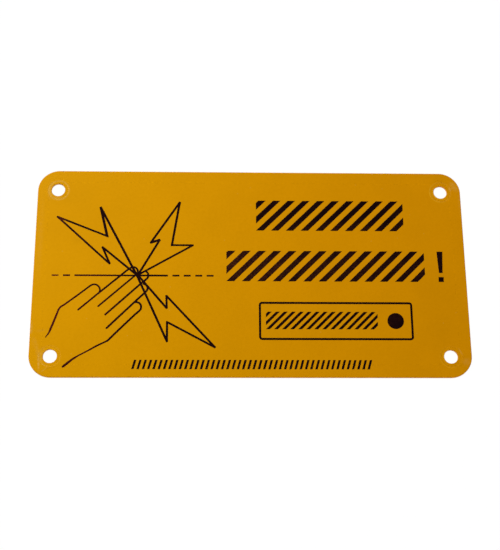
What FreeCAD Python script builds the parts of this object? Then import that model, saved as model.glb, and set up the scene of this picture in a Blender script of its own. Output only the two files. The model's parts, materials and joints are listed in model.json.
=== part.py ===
import FreeCAD, Part
import math
import os

from FreeCAD import Placement, Rotation, Vector

# Electric fence warning sign: one moulded plastic plate with a hole in each corner.
# Millimetres. X runs along the plate, Y up the face as it is read, Z out of the printed face.
# The origin is the middle of the back face.

# Plate
plate_length = 200.0
plate_height = 100.0
plate_thickness = 1.5
corner_radius = 10.0
face_edge_radius = 0.4
back_edge_radius = 0.2

# Fixing holes, one in each corner
hole_diameter = 6.3
hole_to_side = 9.7
hole_to_end = 9.5
hole_mouth_radius = 0.2

# Shallow round seat about each hole, with a sloping wall and a soft rim
seat_diameter = 10.0
seat_depth = 0.1
seat_wall_run = 0.5
seat_rim_radius = 0.5

# How far a cutter runs past the face that it opens
cut_overrun = 1.0


def corner_arc(centre_x, centre_y, radius, start_degrees):
    """A quarter circle about a corner's centre, in the XY plane."""
    circle = Part.Circle(Vector(centre_x, centre_y, 0), Vector(0, 0, 1), radius)
    start = math.radians(start_degrees)
    return Part.Arc(circle, start, start + math.pi / 2)


def plate_outline():
    """The plate's outline: four straight sides joined by quarter circles."""
    corner_x = plate_length / 2 - corner_radius
    corner_y = plate_height / 2 - corner_radius
    arcs = [
        corner_arc(corner_x, corner_y, corner_radius, 0),
        corner_arc(-corner_x, corner_y, corner_radius, 90),
        corner_arc(-corner_x, -corner_y, corner_radius, 180),
        corner_arc(corner_x, -corner_y, corner_radius, 270),
    ]
    edges = []
    for arc, following in zip(arcs, arcs[1:] + arcs[:1]):
        edges.append(arc.toShape())
        edges.append(Part.LineSegment(arc.EndPoint, following.StartPoint).toShape())
    return Part.Wire(edges)


def edges_at_height(solid, height):
    """The edges that lie wholly at one height."""
    found = []
    for edge in solid.Edges:
        box = edge.BoundBox
        if abs(box.ZMin - height) < 1e-6 and abs(box.ZMax - height) < 1e-6:
            found.append(edge)
    return found


def blank():
    """The plate without its holes, its two outer edges rounded."""
    plate = Part.Face(plate_outline()).extrude(Vector(0, 0, plate_thickness))
    plate = plate.makeFillet(face_edge_radius, edges_at_height(plate, plate_thickness))
    return plate.makeFillet(back_edge_radius, edges_at_height(plate, 0))


def hole_profile():
    """Half the section of one hole with its seat, to be turned about Z."""
    hole_radius = hole_diameter / 2
    seat_radius = seat_diameter / 2
    seat_floor = plate_thickness - seat_depth
    mouth = hole_mouth_radius
    mouth_middle = mouth * (1 - math.sqrt(0.5))

    slope = math.atan2(seat_depth, seat_wall_run)
    rim_reach = seat_rim_radius * math.tan(slope / 2)
    rim_outside = Vector(seat_radius + rim_reach, 0, plate_thickness)
    rim_inside = Vector(
        seat_radius - rim_reach * math.cos(slope),
        0,
        plate_thickness - rim_reach * math.sin(slope),
    )
    rim_middle = Vector(
        rim_outside.x - seat_rim_radius * math.sin(slope / 2),
        0,
        plate_thickness - seat_rim_radius * (1 - math.cos(slope / 2)),
    )

    above = plate_thickness + cut_overrun
    points = [
        Vector(hole_radius + mouth, 0, -cut_overrun),
        Vector(0, 0, -cut_overrun),
        Vector(0, 0, above),
        Vector(rim_outside.x, 0, above),
        rim_outside,
    ]
    edges = [Part.LineSegment(a, b).toShape() for a, b in zip(points, points[1:])]
    edges.append(Part.Arc(rim_outside, rim_middle, rim_inside).toShape())

    wall_foot = Vector(seat_radius - seat_wall_run, 0, seat_floor)
    floor_end = Vector(hole_radius + mouth, 0, seat_floor)
    edges.append(Part.LineSegment(rim_inside, wall_foot).toShape())
    edges.append(Part.LineSegment(wall_foot, floor_end).toShape())

    upper_middle = Vector(hole_radius + mouth_middle, 0, seat_floor - mouth_middle)
    wall_top = Vector(hole_radius, 0, seat_floor - mouth)
    wall_bottom = Vector(hole_radius, 0, mouth)
    lower_middle = Vector(hole_radius + mouth_middle, 0, mouth_middle)
    back_mouth = Vector(hole_radius + mouth, 0, 0)
    edges.append(Part.Arc(floor_end, upper_middle, wall_top).toShape())
    edges.append(Part.LineSegment(wall_top, wall_bottom).toShape())
    edges.append(Part.Arc(wall_bottom, lower_middle, back_mouth).toShape())
    edges.append(Part.LineSegment(back_mouth, points[0]).toShape())
    return Part.Face(Part.Wire(edges))


def hole_centres():
    """The middles of the four holes, on the back face."""
    reach_x = plate_length / 2 - hole_to_end
    reach_y = plate_height / 2 - hole_to_side
    return [Vector(x, y, 0) for x in (-reach_x, reach_x) for y in (-reach_y, reach_y)]


def sign_plate():
    """The whole plate, with its four holes and their seats."""
    cutter = hole_profile().revolve(Vector(0, 0, 0), Vector(0, 0, 1), 360)
    plate = blank()
    for centre in hole_centres():
        placed = cutter.copy()
        placed.Placement = Placement(centre, Rotation())
        plate = plate.cut(placed)
    return plate


os.makedirs("parts", exist_ok=True)
shape = sign_plate()
print("sign_plate valid:", shape.isValid(), "volume mm3:", round(shape.Volume, 1))
shape.exportStep("parts/sign_plate.step")
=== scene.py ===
import json
import math

import bmesh
import bpy
from mathutils import Matrix, Vector


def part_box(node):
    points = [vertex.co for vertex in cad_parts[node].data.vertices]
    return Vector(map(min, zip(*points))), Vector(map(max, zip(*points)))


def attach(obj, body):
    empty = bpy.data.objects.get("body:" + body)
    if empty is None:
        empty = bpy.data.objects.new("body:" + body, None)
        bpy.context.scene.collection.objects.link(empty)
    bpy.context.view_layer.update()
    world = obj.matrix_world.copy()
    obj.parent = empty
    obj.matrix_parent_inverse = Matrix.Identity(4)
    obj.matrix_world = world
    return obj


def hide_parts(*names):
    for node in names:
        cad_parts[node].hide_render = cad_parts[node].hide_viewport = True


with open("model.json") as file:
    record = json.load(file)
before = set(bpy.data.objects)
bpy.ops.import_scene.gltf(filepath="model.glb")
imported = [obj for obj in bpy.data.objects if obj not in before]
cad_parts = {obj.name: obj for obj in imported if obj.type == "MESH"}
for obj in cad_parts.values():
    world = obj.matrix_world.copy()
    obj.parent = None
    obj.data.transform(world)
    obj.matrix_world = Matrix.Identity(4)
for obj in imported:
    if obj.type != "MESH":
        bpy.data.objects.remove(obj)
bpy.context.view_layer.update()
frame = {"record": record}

# Pieces are drawn in millimetres from the middle of the plate's back, then shrunk to metres.
mm = 0.001
nearMargin = 0.001  # points closer than this lie at one place
plateLow, plateHigh = (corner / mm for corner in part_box("sign_plate"))
plateLength = plateHigh.x - plateLow.x
plateHeight = plateHigh.y - plateLow.y
plateTop = plateHigh.z
holeMount = next(m for m in frame["record"]["mounts"] if m["name"] == "fixing_holes")
holeRadius = holeMount["dims"]["hole_r_mm"]
holeX = holeMount["dims"]["spacing_x_mm"] / 2
holeY = holeMount["dims"]["spacing_y_mm"] / 2
holeCentres = {
    "upperLeft": (-holeX, holeY),
    "upperRight": (holeX, holeY),
    "lowerLeft": (-holeX, -holeY),
    "lowerRight": (holeX, -holeY),
}
plateSizes = [round(size, 2) for size in (plateLength, plateHeight, plateTop)]
print("plate read from the frame:", *plateSizes, "mm")


# Mesh tools

def workingObject(bm):  # a passing object, for its modifiers
    mesh = bpy.data.meshes.new("working")
    bm.to_mesh(mesh)
    bm.free()
    shape = bpy.data.objects.new("working", mesh)
    bpy.context.scene.collection.objects.link(shape)
    return shape


def applied(shape):  # the shape with its modifiers, as a bmesh
    bm = bmesh.new()
    bm.from_object(shape, bpy.context.evaluated_depsgraph_get())
    bpy.data.objects.remove(shape)
    return bm


def combined(shape, others, operation):  # EXACT boolean with several others at once
    group = bpy.data.collections.new("operands")
    bpy.context.scene.collection.children.link(group)
    for other in others:
        bpy.context.scene.collection.objects.unlink(other)
        group.objects.link(other)
    joint = shape.modifiers.new("combine", "BOOLEAN")
    joint.operation = operation
    joint.operand_type = "COLLECTION"
    joint.collection = group
    joint.solver = "EXACT"
    bm = applied(shape)
    for other in others:
        bpy.data.objects.remove(other)
    bpy.data.collections.remove(group)
    return bm


def addPiece(name, bm, material):  # a finished piece, in metres, on the plate's body
    bmesh.ops.recalc_face_normals(bm, faces=bm.faces)
    bmesh.ops.scale(bm, vec=(mm, mm, mm), verts=bm.verts)
    mesh = bpy.data.meshes.new(name)
    bm.to_mesh(mesh)
    bm.free()
    mesh.materials.append(material)
    piece = bpy.data.objects.new(name, mesh)
    bpy.context.scene.collection.objects.link(piece)
    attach(piece, "root")
    print(name, "has", len(mesh.polygons), "faces")
    return piece


def arcPoints(centre, radius, startDegrees, endDegrees, steps):
    span = endDegrees - startDegrees
    angles = [math.radians(startDegrees + span * k / steps) for k in range(steps + 1)]
    return [(centre[0] + radius * math.cos(a), centre[1] + radius * math.sin(a)) for a in angles]


# Shader tools

def newMaterial(name):
    material = bpy.data.materials.new(name)
    material.use_nodes = True
    material.node_tree.nodes.clear()
    return material


def addNode(tree, kind, settings=None, inputs=None):
    node = tree.nodes.new(kind)
    for key, value in (settings or {}).items():
        setattr(node, key, value)
    for key, value in (inputs or {}).items():
        if isinstance(value, bpy.types.NodeSocket):
            tree.links.new(value, node.inputs[key])
        else:
            node.inputs[key].default_value = value
    return node


def mathNode(tree, operation, first, second=0.0, clamp=False):
    settings = {"operation": operation, "use_clamp": clamp}
    node = addNode(tree, "ShaderNodeMath", settings, {0: first, 1: second})
    return node.outputs[0]


def smoothRange(tree, value, start, end, low=0.0, high=1.0):
    node = addNode(
        tree,
        "ShaderNodeMapRange",
        {"interpolation_type": "SMOOTHSTEP"},
        {"Value": value, "From Min": start, "From Max": end, "To Min": low, "To Max": high},
    )
    return node.outputs["Result"]


def noise(tree, vector, scale, detail=2.0, roughness=0.5):
    node = addNode(
        tree,
        "ShaderNodeTexNoise",
        {},
        {"Vector": vector, "Scale": scale, "Detail": detail, "Roughness": roughness},
    )
    return node.outputs["Fac"]


def mixColour(tree, factor, first, second, blend="MIX"):
    settings = {"data_type": "RGBA", "blend_type": blend}
    node = addNode(tree, "ShaderNodeMix", settings, {"Factor": factor})
    for socket, value in ((node.inputs[6], first), (node.inputs[7], second)):
        if isinstance(value, bpy.types.NodeSocket):
            tree.links.new(value, socket)
        else:
            socket.default_value = (*value, 1.0)
    return node.outputs[2]


def millimetres(tree):  # Object coordinates, in millimetres
    coordinates = addNode(tree, "ShaderNodeTexCoord")
    scaled = addNode(
        tree,
        "ShaderNodeVectorMath",
        {"operation": "SCALE"},
        {0: coordinates.outputs["Object"], "Scale": 1 / mm},
    )
    return scaled.outputs[0]


def newGroup(name, inputs, outputs):
    group = bpy.data.node_groups.new(name, "ShaderNodeTree")
    for label, kind, default in inputs:
        socket = group.interface.new_socket(label, in_out="INPUT", socket_type=kind)
        if default is not None:
            socket.default_value = default
    for label, kind in outputs:
        group.interface.new_socket(label, in_out="OUTPUT", socket_type=kind)
    return group, group.nodes.new("NodeGroupInput"), group.nodes.new("NodeGroupOutput")


def groupNode(tree, group, inputs):
    node = tree.nodes.new("ShaderNodeGroup")
    node.node_tree = group
    for key, value in inputs.items():
        if isinstance(value, bpy.types.NodeSocket):
            tree.links.new(value, node.inputs[key])
        else:
            node.inputs[key].default_value = value
    return node


# Effects that both the plastic and the ink use

def softPatchGroup():  # 1 in the middle of a turned ellipse, falling to 0 at its edge
    group, source, target = newGroup(
        "softPatch",
        [
            ("Vector", "NodeSocketVector", None),
            ("Middle", "NodeSocketVector", None),
            ("Reach", "NodeSocketVector", (1.0, 1.0, 1.0)),
            ("Turn", "NodeSocketFloat", 0.0),
            ("Core", "NodeSocketFloat", 0.0),
        ],
        [("Mask", "NodeSocketFloat")],
    )
    fromMiddle = addNode(
        group,
        "ShaderNodeVectorMath",
        {"operation": "SUBTRACT"},
        {0: source.outputs["Vector"], 1: source.outputs["Middle"]},
    )
    turned = addNode(
        group,
        "ShaderNodeVectorRotate",
        {"rotation_type": "Z_AXIS", "invert": True},
        {"Vector": fromMiddle.outputs[0], "Angle": source.outputs["Turn"]},
    )
    shared = addNode(
        group,
        "ShaderNodeVectorMath",
        {"operation": "DIVIDE"},
        {0: turned.outputs[0], 1: source.outputs["Reach"]},
    )
    distance = addNode(group, "ShaderNodeVectorMath", {"operation": "LENGTH"}, {0: shared.outputs[0]})
    mask = smoothRange(group, distance.outputs["Value"], source.outputs["Core"], 1.0, 1.0, 0.0)
    group.links.new(mask, target.inputs["Mask"])
    return group


# the face's slow waves, fine grain and mottle: scale, detail and roughness of each noise
mouldMarks = {
    "wave": (0.035, 2.0, 0.5),
    "fine": (1.6, 3.0, 0.6),
    "mottle": (0.7, 3.0, 0.65),
    "bumpStrength": 0.35,
}


def mouldGrainGroup():
    group, source, target = newGroup(
        "mouldGrain",
        [
            ("Vector", "NodeSocketVector", None),
            ("Wave", "NodeSocketFloat", 0.03),
            ("Grain", "NodeSocketFloat", 0.003),
        ],
        [("Height", "NodeSocketFloat"), ("Mottle", "NodeSocketFloat")],
    )
    vector = source.outputs["Vector"]
    slow = noise(group, vector, *mouldMarks["wave"])
    wave = mathNode(group, "MULTIPLY", slow, source.outputs["Wave"])
    fine = noise(group, vector, *mouldMarks["fine"])
    grain = mathNode(group, "MULTIPLY", fine, source.outputs["Grain"])
    group.links.new(mathNode(group, "ADD", wave, grain), target.inputs["Height"])
    group.links.new(noise(group, vector, *mouldMarks["mottle"]), target.inputs["Mottle"])
    return group


def mouldedGrain(tree, vector, look):
    values = {"Vector": vector, "Wave": look["wave"], "Grain": look["grain"]}
    return groupNode(tree, mouldGrain, values)


def bumpNode(tree, grain):
    values = {
        "Strength": mouldMarks["bumpStrength"],
        "Distance": mm,
        "Height": grain.outputs["Height"],
    }
    return addNode(tree, "ShaderNodeBump", {}, values)


def summed(tree, values):
    total = values[0]
    for value in values[1:]:
        total = mathNode(tree, "ADD", total, value)
    return total


softPatch = softPatchGroup()
mouldGrain = mouldGrainGroup()
patchDepth = 3.0  # a patch's reach into the plate


def patchMask(tree, vector, middle, reach, turn):
    values = {
        "Vector": vector,
        "Middle": (*middle, plateTop),
        "Reach": (*reach, patchDepth),
        "Turn": math.radians(turn),
    }
    return groupNode(tree, softPatch, values).outputs["Mask"]


def patches(tree, vector, places):  # several patches, each by its strength
    masks = []
    for middle, reach, turn, strength in places:
        mask = patchMask(tree, vector, middle, reach, turn)
        masks.append(mathNode(tree, "MULTIPLY", mask, strength))
    return summed(tree, masks)


# Yellow plastic

plasticLook = {
    # painted light and shade: lighter and yellower at the left end, darker and more orange at the
    # right, as the key lamp falls off
    "litLeftColour": (0.650, 0.292, 0.0),
    "shadedRightColour": (0.632, 0.252, 0.0),
    "paintedLightReach": 0.65,  # how far from the middle each end's painted light or shade is full, as a share of the length
    "wave": 0.02,
    "grain": 0.002,
    # cloudy shade: scale and detail, the range that shows, the darkest share
    "cloud": (0.06, 3.0),
    "cloudRange": (0.7, 1.3),
    "mottleShare": 0.05,
    "paleMarkColour": (0.72, 0.56, 0.20),
    "roughness": 0.42,
    "roughnessSpread": 0.05,
    "roughnessRange": (0.3, 0.7),
    "specular": 0.26,
    "specularTint": (1.0, 0.45, 0.0),
    # how far the seats' gentle walls are shaded as level, and which slopes count as gentle
    "wallEvenness": 0.5,
    "wallSlopes": (0.9, 0.97),
    # the pale band round each seat, whitened plastic and painted light over the seat wall's shade: how
    # far off centre, inner and outer radius, strength
    "seatWhiteningAndLight": {
        "upperLeft": ((0.3, -0.25), 4.35, 5.1, 0.135),
        "upperRight": ((0.0, 0.0), 4.6, 5.2, 0.030),
        "lowerLeft": ((0.0, 0.0), 4.5, 5.1, 0.027),
        "lowerRight": ((0.0, 0.0), 4.6, 5.1, 0.010),
    },
    "bandSoftness": 0.25,
    # painted highlights on a seat's rim and on a hole's lip: hole, inner and outer radius,
    # which way from the hole in degrees, strength
    "rimHighlightColour": (0.92, 0.52, 0.02),
    "rimHighlights": [
        ("upperRight", 5.05, 5.45, 205, 0.28),
        ("lowerRight", 4.95, 5.35, 228, 0.18),
        ("upperRight", 3.35, 4.0, 245, 0.22),
        ("lowerRight", 3.35, 3.9, 180, 0.20),
        ("lowerLeft", 3.35, 3.9, 80, 0.12),
    ],
    "rimSoftness": 0.15,
    "rimSpread": 2.0,  # a painted highlight's reach, in its own radii
    # pale patches: hole, place from its middle, reach along and across, turn in degrees, strength
    "palePatches": [
        ("upperLeft", (-3.3, -0.6), (2.5, 5.8), 0, 0.115),
        ("upperLeft", (0.2, -4.2), (3.8, 1.1), 0, 0.11),
        ("upperRight", (6.6, 2.9), (3.8, 2.5), -55, 0.15),
        ("upperRight", (4.6, 1.4), (1.7, 1.0), -60, 0.12),
        ("upperRight", (8.6, -5.0), (0.8, 9.0), 0, 0.04),
        ("lowerRight", (6.9, -2.4), (3.0, 2.8), 0, 0.09),
        ("lowerRight", (4.5, 2.2), (0.6, 3.0), 30, 0.09),
        ("lowerLeft", (-4.8, -3.2), (0.7, 5.4), 3, 0.24),
        ("lowerLeft", (-2.2, -4.1), (2.7, 0.55), -28, 0.18),
        ("lowerLeft", (-2.3, -6.4), (2.6, 0.5), 37, 0.10),
        ("lowerLeft", (-3.7, 0.2), (2.3, 5.0), -8, 0.11),
        ("lowerLeft", (-5.6, 1.6), (1.3, 4.0), 8, 0.07),
        ("lowerLeft", (-6.9, 5.9), (2.0, 4.4), 20, 0.05),
        ("lowerLeft", (-4.8, 11.7), (4.0, 1.2), 5, 0.03),
        ("lowerLeft", (-8.8, 13.1), (0.9, 4.6), 0, 0.14),
        # painted sheen: a faint light streak along the left edge
        ("upperLeft", (-7.2, -24.0), (2.2, 32.0), 0, 0.03),
    ],
    # the pale patches are broken up: scale, detail and roughness, then the range and its end values
    "breaks": (0.75, 4.0, 0.7),
    "breakRange": (0.35, 0.65, 0.2, 1.25),
    # tiny pale specks: cells in a millimetre, share of cells with one, radius in cells, strength
    "specks": (0.16, 0.07, 0.055, 0.08),
    # darker creases and a smudge, painted shade beside the seats and wide painted shade: hole, place,
    # reach, turn, strength
    "creasesAndPaintedShade": [
        ("lowerLeft", (-0.6, -5.6), (3.2, 0.6), 20, 0.10),
        # painted shade on the upper outer side of the upper-right rim
        ("upperRight", (0.3, 5.6), (2.6, 1.0), 0, 0.05),
        ("lowerRight", (4.6, -3.8), (2.4, 0.7), 42, 0.06),
        # painted shade on the lower-right side of the upper-left seat
        ("upperLeft", (3.0, -3.5), (5.0, 3.4), -45, 0.045),
        ("upperLeft", (10.0, -25.0), (3.6, 3.4), 0, 0.06),
        # wide painted shade over the upper left and the lower right, evening the lamps' light
        ("upperLeft", (3.0, -6.0), (44.0, 38.0), 0, 0.045),
        ("lowerRight", (-3.0, 19.0), (18.0, 34.0), 0, 0.035),
        # painted shade below the two lower seats
        ("lowerRight", (1.8, -3.8), (4.6, 2.4), 10, 0.05),
        ("lowerLeft", (3.0, -3.6), (4.0, 2.2), 35, 0.03),
    ],
}


def besideHole(hole, place):  # a place given from the middle of a hole
    centre = holeCentres[hole]
    return centre[0] + place[0], centre[1] + place[1]


def holePatches(tree, vector, marks):
    places = [(besideHole(hole, place), *values) for hole, place, *values in marks]
    return patches(tree, vector, places)


def ringMask(tree, vector, hole, offset, inner, outer, soft):  # 1 between two radii about a hole
    middle = (*besideHole(hole, offset), plateTop)
    away = addNode(tree, "ShaderNodeVectorMath", {"operation": "DISTANCE"}, {0: vector, 1: middle})
    distance = away.outputs["Value"]
    begins = smoothRange(tree, distance, inner - soft, inner + soft)
    ends = smoothRange(tree, distance, outer - soft, outer + soft, 1.0, 0.0)
    return mathNode(tree, "MULTIPLY", begins, ends)


def speckMask(tree, vector, cells, share, radius, strength):
    cell = addNode(
        tree,
        "ShaderNodeTexVoronoi",
        {"voronoi_dimensions": "2D"},
        {"Vector": vector, "Scale": cells},
    )
    dot = smoothRange(tree, cell.outputs["Distance"], radius * 0.5, radius, strength, 0.0)
    chance = addNode(tree, "ShaderNodeSeparateColor", {}, {"Color": cell.outputs["Color"]})
    picked = mathNode(tree, "LESS_THAN", chance.outputs["Red"], share)
    return mathNode(tree, "MULTIPLY", dot, picked)


def evenedNormal(tree, look):  # gentle slopes are shaded partly as level
    coordinates = addNode(tree, "ShaderNodeTexCoord")
    normal = coordinates.outputs["Normal"]
    axes = addNode(tree, "ShaderNodeSeparateXYZ", {}, {0: normal})
    gentle = smoothRange(tree, axes.outputs["Z"], *look["wallSlopes"], 0.0, look["wallEvenness"])
    level = addNode(
        tree,
        "ShaderNodeMix",
        {"data_type": "VECTOR"},
        {0: gentle, 4: normal, 5: (0.0, 0.0, 1.0)},
    )
    turned = addNode(
        tree,
        "ShaderNodeVectorTransform",
        {"vector_type": "NORMAL", "convert_from": "OBJECT", "convert_to": "WORLD"},
        {0: level.outputs[1]},
    )
    return turned.outputs[0]


def yellowPlastic():
    look = plasticLook
    material = newMaterial("yellowPlastic")
    tree = material.node_tree
    vector = millimetres(tree)
    grain = mouldedGrain(tree, vector, look)
    axes = addNode(tree, "ShaderNodeSeparateXYZ", {}, {0: vector})
    # painted light: the plate is lighter at the left end and darker, more orange at the right
    reach = plateLength * look["paintedLightReach"]
    across = smoothRange(tree, axes.outputs["X"], -reach, reach)
    colour = mixColour(tree, across, look["litLeftColour"], look["shadedRightColour"])
    cloud = mathNode(tree, "ADD", noise(tree, vector, *look["cloud"]), grain.outputs["Mottle"])
    shade = smoothRange(tree, cloud, *look["cloudRange"], 1.0 - look["mottleShare"], 1.0)
    channels = {"Red": shade, "Green": shade, "Blue": shade}
    greyShade = addNode(tree, "ShaderNodeCombineColor", {}, channels)
    colour = mixColour(tree, 1.0, colour, greyShade.outputs["Color"], "MULTIPLY")

    # pale bands round the seats: whitened plastic, and painted light over the seat walls' shade
    bands = []
    for hole, (offset, inner, outer, strength) in look["seatWhiteningAndLight"].items():
        ring = ringMask(tree, vector, hole, offset, inner, outer, look["bandSoftness"])
        bands.append(mathNode(tree, "MULTIPLY", ring, strength))
    broken = smoothRange(tree, noise(tree, vector, *look["breaks"]), *look["breakRange"])
    paleness = mathNode(tree, "MULTIPLY", holePatches(tree, vector, look["palePatches"]), broken)
    colour = mixColour(tree, summed(tree, bands + [paleness]), colour, look["paleMarkColour"])

    # painted highlights on the seats' rims and the holes' lips
    rims = []
    for hole, inner, outer, toward, strength in look["rimHighlights"]:
        ring = ringMask(tree, vector, hole, (0.0, 0.0), inner, outer, look["rimSoftness"])
        place = [outer * f(math.radians(toward)) for f in (math.cos, math.sin)]
        spread = outer * look["rimSpread"]
        side = patchMask(tree, vector, besideHole(hole, place), (spread, spread), 0)
        rims.append(mathNode(tree, "MULTIPLY", mathNode(tree, "MULTIPLY", ring, side), strength))
    colour = mixColour(tree, summed(tree, rims), colour, look["rimHighlightColour"])
    colour = mixColour(tree, speckMask(tree, vector, *look["specks"]), colour, look["paleMarkColour"])

    # darker creases and a smudge, with painted shade beside the seats and wide painted shade over the
    # upper left and lower right
    darker = holePatches(tree, vector, look["creasesAndPaintedShade"])
    colour = mixColour(tree, darker, colour, (0.0, 0.0, 0.0))

    smoothest = look["roughness"] - look["roughnessSpread"]
    roughest = look["roughness"] + look["roughnessSpread"]
    mottle = grain.outputs["Mottle"]
    roughness = smoothRange(tree, mottle, *look["roughnessRange"], smoothest, roughest)
    bump = bumpNode(tree, grain)
    tree.links.new(evenedNormal(tree, look), bump.inputs["Normal"])
    shader = addNode(
        tree,
        "ShaderNodeBsdfPrincipled",
        {},
        {
            "Base Color": colour,
            "Roughness": roughness,
            "Specular IOR Level": look["specular"],
            "Specular Tint": (*look["specularTint"], 1.0),
            "Normal": bump.outputs["Normal"],
        },
    )
    output = addNode(tree, "ShaderNodeOutputMaterial")
    tree.links.new(shader.outputs[0], output.inputs["Surface"])
    return material


# Black ink

inkLook = {
    "black": (0.005, 0.001, 0.002),
    "brown": (0.052, 0.013, 0.005),
    "thin": (0.17, 0.06, 0.004),
    "wave": 0.02,
    "grain": 0.004,
    "roughness": 0.5,
    "roughnessSpread": 0.15,
    "specular": 0.05,
    "specularTint": (1.0, 0.5, 0.4),
    # noises: scale, detail and roughness, then the range that shows and the values at its ends
    "speckle": (1.1, 3.0, 0.65),
    "speckleRange": (0.35, 0.7, 0.15, 1.0),
    "cloud": (0.12, 2.0, 0.5),
    "cloudRange": (0.4, 0.8, 0.0, 0.3),
    "pinholes": (1.9, 2.0, 0.6),
    "pinholeRange": (0.58, 0.74, 0.0, 0.7),
    # where the ink lies thin: middle, reach along and across, turn in degrees, strength
    "thinPlaces": [
        ((-10.0, 3.0), (40.0, 15.0), 0, 0.8),
        ((38.0, 2.0), (60.0, 13.0), 0, 0.55),
        ((82.0, 0.0), (10.0, 9.0), 0, 0.4),
        ((34.0, 17.0), (60.0, 10.0), 0, 0.75),
        ((76.0, 19.0), (16.0, 8.0), 0, 0.5),
        ((-93.0, -20.0), (16.0, 34.0), -20, 0.5),
        ((-79.0, -40.5), (17.0, 7.0), 32, 0.4),
        ((-88.6, 25.3), (4.8, 3.0), -38, 1.1),
        ((-85.0, -2.1), (24.0, 2.0), 0, 0.35),
    ],
    "reddish": (0.10, 0.004, 0.006),
    # where the ink is reddish, written the same way
    "reddishPlaces": [
        ((-54.0, 0.0), (62.0, 50.0), 0, 0.03),
        ((-78.0, -23.0), (34.0, 26.0), 45, 0.28),
        ((-93.0, -18.0), (14.0, 34.0), -20, 0.55),
        ((-79.0, -41.0), (17.0, 7.0), 32, 0.25),
        ((-90.0, -2.1), (3.4, 2.0), 0, 0.55),
        ((-72.0, -2.1), (14.0, 2.0), 0, 0.28),
        ((-88.4, 25.2), (4.6, 2.6), -38, 0.26),
        ((-79.0, 16.3), (14.0, 1.6), -42.8, 0.13),
    ],
}


def blackInk():
    look = inkLook
    material = newMaterial("blackInk")
    tree = material.node_tree
    vector = millimetres(tree)
    grain = mouldedGrain(tree, vector, look)
    speckle = smoothRange(tree, noise(tree, vector, *look["speckle"]), *look["speckleRange"])
    cloud = smoothRange(tree, noise(tree, vector, *look["cloud"]), *look["cloudRange"])
    worn = patches(tree, vector, look["thinPlaces"])
    thin = mathNode(tree, "ADD", worn, cloud)
    brownish = mathNode(tree, "MULTIPLY", thin, speckle, clamp=True)
    colour = mixColour(tree, brownish, look["black"], look["brown"])
    reddish = patches(tree, vector, look["reddishPlaces"])
    colour = mixColour(tree, reddish, colour, look["reddish"])
    # pinholes that let the yellow through
    pinholes = smoothRange(tree, noise(tree, vector, *look["pinholes"]), *look["pinholeRange"])
    yellowish = mathNode(tree, "MULTIPLY", pinholes, worn, clamp=True)
    colour = mixColour(tree, yellowish, colour, look["thin"])
    roughest = look["roughness"] + look["roughnessSpread"]
    bump = bumpNode(tree, grain)
    shader = addNode(
        tree,
        "ShaderNodeBsdfPrincipled",
        {},
        {
            "Base Color": colour,
            "Roughness": smoothRange(tree, speckle, 0.0, 1.0, look["roughness"], roughest),
            "Specular IOR Level": look["specular"],
            "Specular Tint": (*look["specularTint"], 1.0),
            "Normal": bump.outputs["Normal"],
        },
    )
    output = addNode(tree, "ShaderNodeOutputMaterial")
    tree.links.new(shader.outputs[0], output.inputs["Surface"])
    return material


plastic = yellowPlastic()
ink = blackInk()
print("materials made")


# Plate

plateShape = {
    "cornerRadius": 10.0,
    "cornerSteps": 24,
    "faceEdge": 0.4,
    "faceEdgeSteps": 5,
    "backEdge": 0.2,
    "backEdgeSteps": 3,
    "holeSteps": 96,
    "seatRadius": 5.0,
    "seatDepth": 0.1,
    "seatRun": 0.5,
    "rimRadius": 0.5,
    "mouthRadius": 0.2,
    "levelMargin": 0.06,  # narrow rings that keep the seat floor's shading level
    "curveSteps": 4,
    "overrun": 1.0,  # how far a hole's cutter stands out of the plate
    "mergeGap": 0.0005,
    "sharpDegrees": 28.0,
}


def plateBlank():  # the moulding before its holes: a slab with rounded corners and soft edges
    shape = plateShape
    bm = bmesh.new()
    bmesh.ops.create_cube(bm, size=1.0)
    bmesh.ops.scale(bm, vec=(plateLength, plateHeight, plateTop), verts=bm.verts)
    bmesh.ops.translate(bm, vec=(0, 0, plateTop / 2), verts=bm.verts)
    upright = [e for e in bm.edges if abs(e.verts[0].co.z - e.verts[1].co.z) > plateTop / 2]
    bevelEdges(bm, upright, shape["cornerRadius"], shape["cornerSteps"])
    for height, radius, steps in (
        (plateTop, shape["faceEdge"], shape["faceEdgeSteps"]),
        (0.0, shape["backEdge"], shape["backEdgeSteps"]),
    ):
        around = [e for e in bm.edges if all(abs(v.co.z - height) < nearMargin for v in e.verts)]
        bevelEdges(bm, around, radius, steps)
    return bm


def bevelEdges(bm, edges, offset, segments):
    bmesh.ops.bevel(
        bm,
        geom=edges,
        offset=offset,
        segments=segments,
        profile=0.5,
        affect="EDGES",
        material=-1,
    )


def holeSection():  # distance from the hole's axis and height, from above the face downwards
    shape = plateShape
    rim, mouth, steps = shape["rimRadius"], shape["mouthRadius"], shape["curveSteps"]
    slope = math.degrees(math.atan2(shape["seatDepth"], shape["seatRun"]))
    rimEdge = shape["seatRadius"] + rim * math.tan(math.radians(slope / 2))
    seatFloor = plateTop - shape["seatDepth"]
    mouthEdge = holeRadius + mouth
    section = [(0, plateTop + shape["overrun"]), (rimEdge, plateTop + shape["overrun"])]
    section += arcPoints((rimEdge, plateTop - rim), rim, 90, 90 + slope, steps)
    wallFoot = shape["seatRadius"] - shape["seatRun"]
    section += [(wallFoot, seatFloor), (wallFoot - shape["levelMargin"], seatFloor)]
    section += [(mouthEdge + shape["levelMargin"], seatFloor)]
    section += arcPoints((mouthEdge, seatFloor - mouth), mouth, 90, 180, steps)
    section += arcPoints((mouthEdge, mouth), mouth, 180, 270, steps)
    section += [(mouthEdge, -shape["overrun"]), (0, -shape["overrun"])]
    return section


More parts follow.
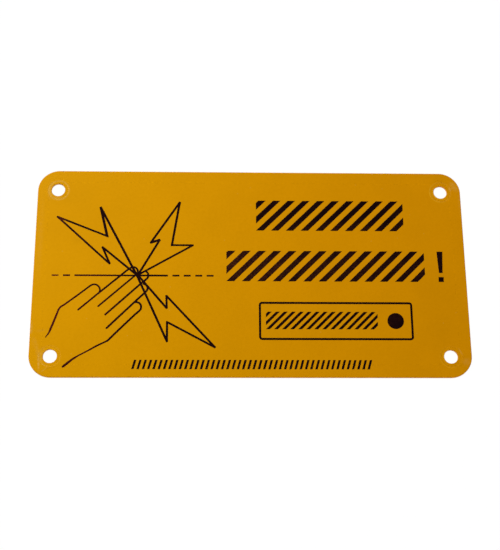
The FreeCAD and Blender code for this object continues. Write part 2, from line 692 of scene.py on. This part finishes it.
def holeCutter(centre):
    bm = bmesh.new()
    verts = [bm.verts.new((radius, 0, height)) for radius, height in holeSection()]
    edges = [bm.edges.new(pair) for pair in zip(verts, verts[1:])]
    bmesh.ops.spin(
        bm,
        geom=verts + edges,
        cent=(0, 0, 0),
        axis=(0, 0, 1),
        angle=math.tau,
        steps=plateShape["holeSteps"],
        use_merge=True,
    )
    bmesh.ops.remove_doubles(bm, verts=bm.verts, dist=plateShape["mergeGap"])
    bmesh.ops.recalc_face_normals(bm, faces=bm.faces)
    bmesh.ops.translate(bm, vec=(*centre, 0), verts=bm.verts)
    return workingObject(bm)


cutters = [holeCutter(centre) for centre in holeCentres.values()]
moulding = combined(workingObject(plateBlank()), cutters, "DIFFERENCE")
bmesh.ops.triangulate(moulding, faces=[f for f in moulding.faces if len(f.verts) > 4])
plate = addPiece("plate_moulding", moulding, plastic)
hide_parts("sign_plate")
plate.data.shade_smooth()
plate.data.set_sharp_from_angle(angle=math.radians(plateShape["sharpDegrees"]))
facing = plate.modifiers.new("faceNormals", "WEIGHTED_NORMAL")
facing.keep_sharp = True
facing.weight = 100


# Ink on the face: thin closed slabs, sunk a hair into the plastic

inkLayer = {
    "sink": 0.02,
    "rise": 0.02,
    # a stroke's round end: how far its corners are sought and rounded, in widths
    "endReach": 0.55,
    "endRound": 0.48,
    "endSteps": 4,
}
inkThickness = inkLayer["sink"] + inkLayer["rise"]
inkBase = plateTop - inkLayer["sink"]


def polygonSlab(points):
    bm = bmesh.new()
    addPolygon(bm, points)
    return solidSlab(bm)


def addPolygon(bm, points):
    return bm.faces.new([bm.verts.new((x, y, 0)) for x, y in points])


def solidSlab(bm):  # gives flat faces the ink's thickness and height
    bmesh.ops.recalc_face_normals(bm, faces=bm.faces)
    bmesh.ops.solidify(bm, geom=bm.faces[:], thickness=inkThickness)
    lowest = min(v.co.z for v in bm.verts)
    bmesh.ops.translate(bm, vec=(0, 0, inkBase - lowest), verts=bm.verts)
    return bm


def strokeSlab(points, widths, roundEnds):  # a line along the points, as wide at each as widths says
    if not isinstance(widths, (list, tuple)):
        widths = [widths] * len(points)
    bm = bmesh.new()
    verts = [bm.verts.new((x, y, inkBase)) for x, y in points]
    edges = [bm.edges.new(pair) for pair in zip(verts, verts[1:])]
    wall = bmesh.ops.extrude_edge_only(bm, edges=edges)["geom"]
    upper = [g for g in wall if isinstance(g, bmesh.types.BMVert)]
    bmesh.ops.translate(bm, vec=(0, 0, inkThickness), verts=upper)
    widest = max(widths)
    layer = bm.verts.layers.deform.verify()
    for vert in bm.verts:
        nearest = min(range(len(points)), key=lambda k: (vert.co.xy - Vector(points[k])).length)
        vert[layer][0] = widths[nearest] / widest
    shape = workingObject(bm)
    shape.vertex_groups.new(name="width")
    thicken = shape.modifiers.new("width", "SOLIDIFY")
    thicken.thickness = widest
    thicken.offset = 0
    thicken.use_even_offset = True
    thicken.vertex_group = "width"
    bm = applied(shape)
    ends = ((points[0], widths[0]), (points[-1], widths[-1])) if roundEnds else ()
    for end, width in ends:
        reach = width * inkLayer["endReach"]
        corners = [e for e in bm.edges if uprightNear(e, Vector(end), reach)]
        bevelEdges(bm, corners, width * inkLayer["endRound"], inkLayer["endSteps"])
    return bm


def uprightNear(edge, place, reach):
    first, second = (v.co for v in edge.verts)
    return (first.xy - second.xy).length < nearMargin and (first.xy - place).length < reach


# Warning figure: a hand that touches a wire, with three bolts about the fingertips

figureInk = {
    "wireY": -2.14,
    # each dash's two ends and its width
    "wireDashes": [
        (-91.5, -88.4, 0.63),
        (-86.35, -83.1, 0.82),
        (-81.1, -52.5, 0.8),
        (-53.0, -38.3, 0.88),
        (-36.2, -33.0, 0.84),
        (-31.0, -27.8, 0.84),
        (-25.7, -22.5, 0.84),
        (-20.5, -17.3, 0.82),
    ],
    # each bolt's corners from the touched point round and back, the width of each side,
    # and how far past its place each corner's point goes
    "bolts": [
        (
            [(-52.75, -1.7), (-70.22, 31.4), (-66.8, 17.1), (-90.1, 26.6)]
            + [(-65.12, 3.46), (-68.75, 11.65), (-52.85, -1.7)],
            [1.13, 1.28, 0.96, 0.96, 1.0, 1.01],
            [0.4, 0.85, 0.45, 0.2, 0.4],
        ),
        (
            [(-51.7, -1.65), (-26.9, 12.8), (-36.7, 12.8), (-33.3, 34.25)]
            + [(-46.45, 14.05), (-42.35, 15.37), (-51.9, -1.6)],
            [0.94, 0.94, 1.08, 1.05, 1.18, 1.04],
            [0.3, 0.8, 0.4, 0.5, 0.3],
        ),
        (
            [(-52.45, -2.2), (-38.25, -33.45), (-38.33, -24.35), (-16.45, -36.25)]
            + [(-38.82, -11.9), (-38.6, -17.8), (-51.8, -2.3)],
            [1.07, 1.04, 0.97, 1.01, 0.98, 1.05],
            [0.4, 0.5, 0.2, 0.4, 0.35],
        ),
    ],
    # the stretch of the fourth side where a bolt's two ribbons overlap
    "boltJoin": (0.45, 0.55),
    # the ink has run together at the touched point
    "touchBlob": ([(-52.7, -1.0), (-51.9, -2.3)], 1.9),
}


def handStrokes():
    thumb = [(-92.9, -31.8), (-91.4, -29.5), (-90.9, -28.2), (-88.7, -22.0)]
    thumb += [(-87.5, -18.4), (-86.8, -17.4), (-84.9, -16.1), (-79.9, -12.2)]
    thumb += arcPoints((-71.9, -9.2), 2.7, 128, -25, 9)
    index = [(-79.0, -18.9), (-69.75, -10.65), (-60.6, -2.7), (-57.5, 0.1)]
    index += arcPoints((-54.3, -0.2), 2.15, 128, -20, 8)
    betweenFingers = [(-70.0, -17.2), (-53.2, -2.0)]
    middle = arcPoints((-49.5, -2.1), 2.25, 80, -47, 7) + [(-51.0, -6.4), (-66.7, -21.2)]
    ring = arcPoints((-49.6, -8.3), 2.1, 95, -50, 7) + [(-49.0, -10.7), (-53.1, -14.7), (-65.9, -27.6)]
    little = arcPoints((-52.6, -17.3), 2.4, 118, -45, 8)
    little += [(-53.3, -21.2), (-60.0, -28.0), (-65.0, -33.2), (-66.1, -33.75), (-69.8, -35.6)]
    little += [(-73.9, -38.0), (-77.8, -40.1), (-80.4, -41.8), (-84.0, -44.85), (-84.85, -45.55)]
    return [
        (thumb, [0.46, 0.7] + [0.96] * 2 + [0.82] * (len(thumb) - 4)),
        (index, [0.83, 0.87] + [0.91] * (len(index) - 2)),
        (betweenFingers, 0.83),
        (middle, 0.92),
        (ring, 0.96),
        (little, [0.95] * (len(little) - 7) + [0.74, 0.86, 0.7, 0.7, 0.98, 1.2, 0.7]),
    ]


def figureStrokes():
    strokes = [(points, widths, True) for points, widths in handStrokes() + [figureInk["touchBlob"]]]
    wireY = figureInk["wireY"]
    for start, end, width in figureInk["wireDashes"]:
        strokes.append(([(start, wireY), (end, wireY)], width, False))
    return strokes


def pointedRibbon(points, widths, reaches):  # the outline of a line with pointed corners
    places = [Vector(point) for point in points]
    ways = [(end - start).normalized() for start, end in zip(places, places[1:])]
    borders = []
    for side in (1, -1):
        across = [side * width / 2 * Vector((-way.y, way.x)) for way, width in zip(ways, widths)]
        border = [places[0] + across[0]]
        bends = zip(places[1:-1], ways, ways[1:], across, across[1:], reaches)
        for bend in bends:
            border += cornerPoints(*bend)
        borders.append(border + [places[-1] + across[-1]])
    return borders[0] + borders[1][::-1]


def cornerPoints(place, wayIn, wayOut, acrossIn, acrossOut, reach):
    # the point where two borders meet, or two points where it would go past its reach
    outward = (wayIn - wayOut).normalized()
    turn = wayIn.x * wayOut.y - wayIn.y * wayOut.x
    gap = acrossOut - acrossIn
    along = (gap.x * wayOut.y - gap.y * wayOut.x) / turn
    meeting = acrossIn + along * wayIn
    if meeting.dot(outward) <= reach:
        return [place + meeting]
    cutIn = acrossIn + (reach - acrossIn.dot(outward)) / wayIn.dot(outward) * wayIn
    cutOut = acrossOut + (reach - acrossOut.dot(outward)) / wayOut.dot(outward) * wayOut
    return [place + cutIn, place + cutOut]


def boltSlabs(corners, widths, reaches):  # two ribbons, because a closed one would cross itself
    start, end = Vector(corners[3]), Vector(corners[4])
    joinStart, joinEnd = (start.lerp(end, share) for share in figureInk["boltJoin"])
    ribbons = [
        pointedRibbon(corners[:4] + [joinEnd], widths[:4], reaches[:3]),
        pointedRibbon([joinStart] + corners[4:], widths[3:], reaches[3:]),
    ]
    return [polygonSlab(ribbon) for ribbon in ribbons]


slabs = [workingObject(strokeSlab(*stroke)) for stroke in figureStrokes()]
for bolt in figureInk["bolts"]:
    slabs += [workingObject(slab) for slab in boltSlabs(*bolt)]
addPiece("warning_figure", combined(slabs[0], slabs[1:], "UNION"), ink)


# Slanted stripes in rows and a row of ticks; a plain mark ends the lower row

stripeBands = {
    # left, right, bottom, top, number of stripes, lean over the height, share of ink
    "warning_stripes_upper": (2.5, 72.0, 20.3, 35.4, 10, 15.1, 0.5),
    "warning_stripes_lower": (-11.4, 80.8, -4.7, 10.2, 13, 14.9, 0.5),
    "panel_stripes": (6.6, 57.8, -27.6, -19.3, 14, 8.3, 0.48),
    "tick_row": (-54.0, 54.5, -46.3, -42.0, 46, 1.2, 0.46),
}


def stripeBand(left, right, bottom, top, count, lean, share):
    pitch = (right - left) / count
    width = pitch * share
    bm = bmesh.new()
    for step in range(-math.ceil(lean / pitch), count):
        x = left + step * pitch
        addPolygon(bm, [(x, bottom), (x + width, bottom), (x + width + lean, top), (x + lean, top)])
    for x, side in ((left, -1), (right, 1)):
        bmesh.ops.bisect_plane(
            bm,
            geom=bm.verts[:] + bm.edges[:] + bm.faces[:],
            plane_co=(x, 0, 0),
            plane_no=(side, 0, 0),
            clear_outer=True,
        )
    return solidSlab(bm)


for name, band in stripeBands.items():
    addPiece(name, stripeBand(*band), ink)


endMark = {
    "x": 88.2,
    "foot": -4.7,
    "top": 10.2,
    "topWidth": 2.8,
    "footWidth": 1.7,
    "dot": 2.4,
    "gap": 2.0,
}


def endMarkSlab():
    mark = endMark
    x, dot = mark["x"], mark["dot"] / 2
    stemFoot = mark["foot"] + mark["dot"] + mark["gap"]
    topHalf, footHalf = mark["topWidth"] / 2, mark["footWidth"] / 2
    bm = bmesh.new()
    stem = [(x - footHalf, stemFoot), (x + footHalf, stemFoot)]
    stem += [(x + topHalf, mark["top"]), (x - topHalf, mark["top"])]
    addPolygon(bm, stem)
    rectangle(bm, x - dot, x + dot, mark["foot"], mark["foot"] + mark["dot"])
    return solidSlab(bm)


def rectangle(bm, left, right, bottom, top):
    return addPolygon(bm, [(left, bottom), (right, bottom), (right, top), (left, top)])


addPiece("end_mark", endMarkSlab(), ink)


# A plain panel outline with a disc

panelInk = {
    "box": (3.4, 74.0, -32.7, -14.6),
    "radius": 1.5,
    "cornerSteps": 8,
    "line": 1.0,
    "disc": (66.0, -23.6, 3.8),
    "discSteps": 48,
}


def panelSlab():
    panel = panelInk
    bm = bmesh.new()
    rectangle(bm, *panel["box"])
    bmesh.ops.bevel(
        bm,
        geom=bm.verts[:],
        offset=panel["radius"],
        segments=panel["cornerSteps"],
        profile=0.5,
        affect="VERTICES",
        material=-1,
    )
    bmesh.ops.inset_region(
        bm,
        faces=bm.faces[:],
        thickness=panel["line"],
        use_even_offset=True,
        use_boundary=True,
    )
    inner = max(bm.faces, key=lambda f: f.calc_area())
    bmesh.ops.delete(bm, geom=[inner], context="FACES")
    x, y, radius = panel["disc"]
    bmesh.ops.create_circle(
        bm,
        cap_ends=True,
        radius=radius,
        segments=panel["discSteps"],
        matrix=Matrix.Translation((x, y, 0)),
    )
    return solidSlab(bm)


addPiece("plain_panel", panelSlab(), ink)


# Studio

studio = {
    "floorSize": 6.0,
    "floorDrop": 0.0002,
    "floorColour": (0.92, 0.92, 0.92),
    "floorLift": 0.985,  # how nearly the floor is seen as pure white
    "floorGlow": 0.5,  # the overlit floor's extra light on the plate's sides
    "worldLight": 0.26,
    "key": {"place": (-0.50, 0.46, 0.66), "size": 0.4, "power": 7.85, "colour": (1.0, 1.0, 0.98)},
    "fill": {"place": (0.25, -1.50, 1.30), "size": 0.9, "power": 6.6, "colour": (1.0, 0.98, 0.95)},
}


def pickedRays(tree, names):  # 1 for the named kinds of ray
    path = addNode(tree, "ShaderNodeLightPath")
    total = path.outputs[names[0]]
    for name in names[1:]:
        total = mathNode(tree, "MAXIMUM", total, path.outputs[name])
    return total


def floorMaterial():
    material = newMaterial("paleFloor")
    tree = material.node_tree
    plain = addNode(tree, "ShaderNodeBsdfDiffuse", {}, {"Color": (*studio["floorColour"], 1.0)})
    paper = {"Color": (1, 1, 1, 1)}
    glow = addNode(tree, "ShaderNodeEmission", {}, {**paper, "Strength": studio["floorGlow"]})
    lit = addNode(tree, "ShaderNodeAddShader", {}, {0: plain.outputs[0], 1: glow.outputs[0]})
    white = addNode(tree, "ShaderNodeEmission", {}, {**paper, "Strength": 1.0})
    rays = pickedRays(tree, ("Is Camera Ray", "Is Glossy Ray", "Is Transmission Ray"))
    share = mathNode(tree, "MULTIPLY", rays, studio["floorLift"])
    mixed = {0: share, 1: lit.outputs[0], 2: white.outputs[0]}
    lifted = addNode(tree, "ShaderNodeMixShader", {}, mixed)
    # seen from below, the floor isn't there
    clear = addNode(tree, "ShaderNodeBsdfTransparent")
    side = addNode(tree, "ShaderNodeNewGeometry")
    surface = addNode(
        tree,
        "ShaderNodeMixShader",
        {},
        {0: side.outputs["Backfacing"], 1: lifted.outputs[0], 2: clear.outputs[0]},
    )
    output = addNode(tree, "ShaderNodeOutputMaterial")
    tree.links.new(surface.outputs[0], output.inputs["Surface"])
    return material


def makeFloor():
    bm = bmesh.new()
    bmesh.ops.create_grid(bm, x_segments=1, y_segments=1, size=studio["floorSize"] / 2)
    bmesh.ops.translate(bm, vec=(0, 0, -studio["floorDrop"]), verts=bm.verts)
    mesh = bpy.data.meshes.new("floor")
    bm.to_mesh(mesh)
    bm.free()
    mesh.materials.append(floorMaterial())
    floor = bpy.data.objects.new("floor", mesh)
    bpy.context.scene.collection.objects.link(floor)


def makeWorld():
    world = bpy.data.worlds.new("studio")
    world.use_nodes = True
    tree = world.node_tree
    tree.nodes.clear()
    paper = {"Color": (1, 1, 1, 1)}
    dim = addNode(tree, "ShaderNodeBackground", {}, {**paper, "Strength": studio["worldLight"]})
    white = addNode(tree, "ShaderNodeBackground", {}, {**paper, "Strength": 1.0})
    seen = addNode(
        tree,
        "ShaderNodeMixShader",
        {},
        {0: pickedRays(tree, ("Is Camera Ray",)), 1: dim.outputs[0], 2: white.outputs[0]},
    )
    output = addNode(tree, "ShaderNodeOutputWorld")
    tree.links.new(seen.outputs[0], output.inputs["Surface"])
    bpy.context.scene.world = world


def makeLamp(name):
    values = studio[name]
    lamp = bpy.data.lights.new(name, "AREA")
    lamp.shape = "SQUARE"
    lamp.size = values["size"]
    lamp.energy = values["power"]
    lamp.color = values["colour"]
    holder = bpy.data.objects.new(name, lamp)
    holder.location = values["place"]
    holder.rotation_euler = (-Vector(values["place"])).to_track_quat("-Z", "Y").to_euler()
    bpy.context.scene.collection.objects.link(holder)


# Camera, in millimetres from the middle of the printed face

cameraPlace = {
    "stand": (-18.1, -163.7, 481.3),
    "target": (-0.5, -1.68, 0.0),
    "rollDegrees": -0.43,
    "lens": 72.07,
    "sensorWidth": 36.0,
    "clip": (0.01, 50.0),  # in metres
}


def makeCamera():
    values = cameraPlace
    camera = bpy.data.cameras.new("camera")
    camera.lens = values["lens"]
    camera.sensor_width = values["sensorWidth"]
    camera.clip_start, camera.clip_end = values["clip"]
    holder = bpy.data.objects.new("camera", camera)
    lift = Vector((0, 0, plateTop))
    stand = (Vector(values["stand"]) + lift) * mm
    back = (stand - (Vector(values["target"]) + lift) * mm).normalized()
    across = Vector((0, 1, 0)).cross(back).normalized()
    axes = Matrix((across, back.cross(across), back)).transposed()
    turn = axes @ Matrix.Rotation(math.radians(values["rollDegrees"]), 3, "Z")
    holder.location = stand
    holder.rotation_euler = turn.to_euler()
    bpy.context.scene.collection.objects.link(holder)
    bpy.context.scene.camera = holder


makeFloor()
makeWorld()
makeLamp("key")
makeLamp("fill")
makeCamera()
bpy.context.scene.view_settings.view_transform = "Standard"
print("studio set")
